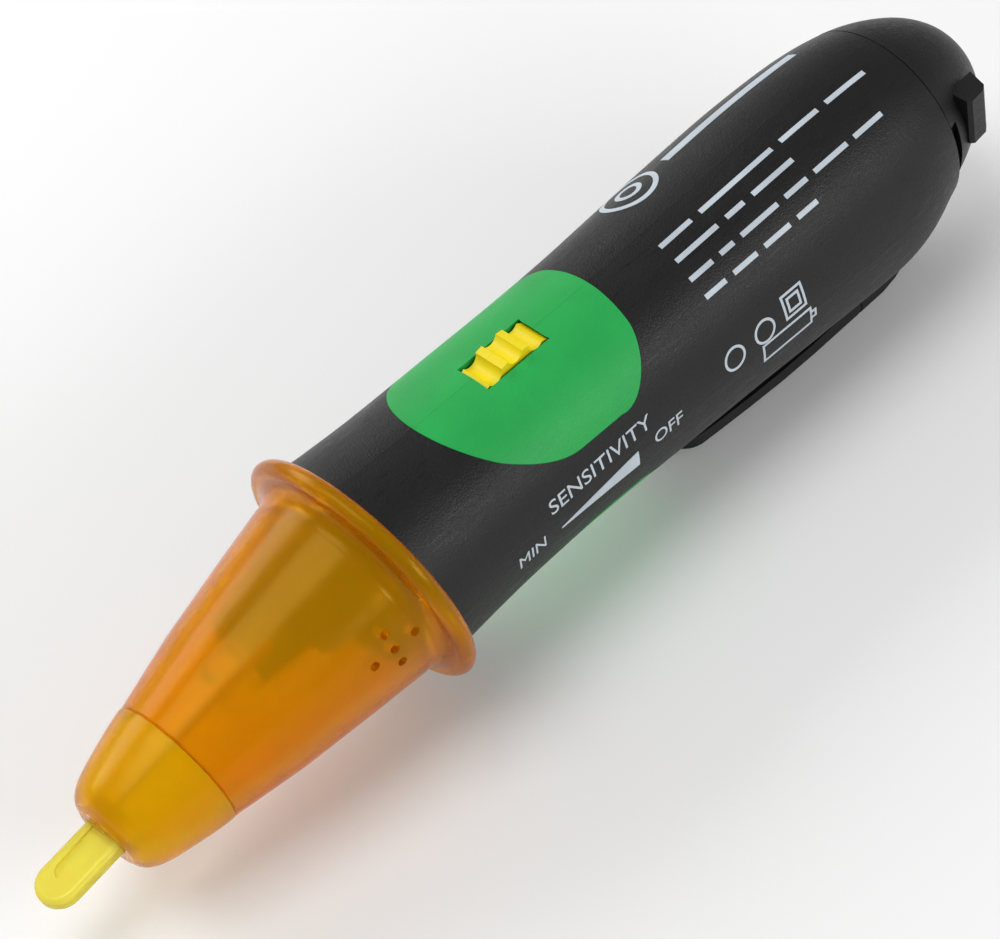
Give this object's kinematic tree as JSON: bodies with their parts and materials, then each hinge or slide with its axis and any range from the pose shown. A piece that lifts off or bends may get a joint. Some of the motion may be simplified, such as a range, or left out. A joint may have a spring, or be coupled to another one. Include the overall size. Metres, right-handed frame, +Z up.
{
  "type": "non contact voltage tester",
  "caption": "Pen style non contact voltage tester with a drooped translucent nose and guard flange, sensing tongue, green thumb inlay with sensitivity wheel, pocket clip and end cap.",
  "frame": {"origin": "middle of the tester's bounding box, on the surface that it lies on with the clip down", "axes": "+X along the barrel from the sensing tip to the tail, +Z up through the thumbwheel slot, -Y towards the printed side"},
  "size_m": [0.1632, 0.0354, 0.0375],
  "materials": {
    "lens_orange": "satin",
    "tip_pale": "satin",
    "case_black": "satin",
    "cap_black": "satin",
    "inlay_green": "matte",
    "clip_black": "satin",
    "wheel_yellow": "matte",
    "seal_rubber": "matte",
    "spring_steel": "brushed",
    "contact_nickel": "satin",
    "pot_black": "matte",
    "rotor_white": "satin",
    "solder_tin": "satin",
    "board_green": "satin",
    "buzzer_black": "satin",
    "disc_brass": "satin",
    "lamp_clear": "gloss",
    "chip_epoxy": "matte",
    "capacitor_sleeve": "satin",
    "ceramic_tan": "matte",
    "lead_red": "satin",
    "lead_black": "satin",
    "bulkhead_grey": "matte",
    "can_steel": "satin",
    "sleeve_print": "satin"
  },
  "bodies": {
    "case": {"case_shell_right": "case_black", "case_shell_left": "case_black", "thumb_inlay_right": "inlay_green", "thumb_inlay_left": "inlay_green", "palm_inlay_right": "inlay_green", "palm_inlay_left": "inlay_green", "nose_cone": "lens_orange", "nose_cap": "lens_orange", "sensing_tip": "tip_pale", "clip_root": "clip_black", "potentiometer_body": "pot_black", "potentiometer_terminals": "solder_tin", "circuit_board": "board_green", "buzzer_case": "buzzer_black", "buzzer_disc": "disc_brass", "indicator_lamp_upper": "lamp_clear", "indicator_lamp_lower": "lamp_clear", "lamp_legs": "solder_tin", "sensor_antenna": "disc_brass", "control_chip": "chip_epoxy", "chip_legs": "solder_tin", "reservoir_capacitor": "capacitor_sleeve", "chip_resistors": "chip_epoxy", "transistors": "chip_epoxy", "ceramic_capacitors": "ceramic_tan", "battery_lead_red": "lead_red", "battery_lead_black": "lead_black", "battery_bulkhead": "bulkhead_grey", "front_contact_positive": "contact_nickel", "front_contact_negative": "contact_nickel", "battery_can_right": "can_steel", "battery_sleeve_right": "sleeve_print", "battery_can_left": "can_steel", "battery_sleeve_left": "sleeve_print"},
    "wheel": {"thumbwheel": "wheel_yellow", "potentiometer_rotor": "rotor_white"},
    "clip": {"pocket_clip": "clip_black"},
    "cap": {"end_cap": "cap_black", "cap_seal_ring": "seal_rubber", "cap_contact_plate": "contact_nickel", "cap_spring_right": "spring_steel", "cap_spring_left": "spring_steel"}
  },
  "joints": [
    {"name": "wheel_turn", "type": "hinge", "parent": "case", "child": "wheel", "pos_m": [0.00005, 0, 0.0262], "axis": [0, 1, 0], "range_deg": [0, 290]},
    {"name": "clip_flex", "type": "hinge", "parent": "case", "child": "clip", "pos_m": [0.05275, 0, 0.00095], "axis": [0, -1, 0], "range_deg": [0, 6], "stiffness_Nm_per_rad": 2},
    {"name": "cap_pull", "type": "slide", "parent": "case", "child": "cap", "axis": [1, 0, 0], "range_m": [0, 0.03]}
  ]
}
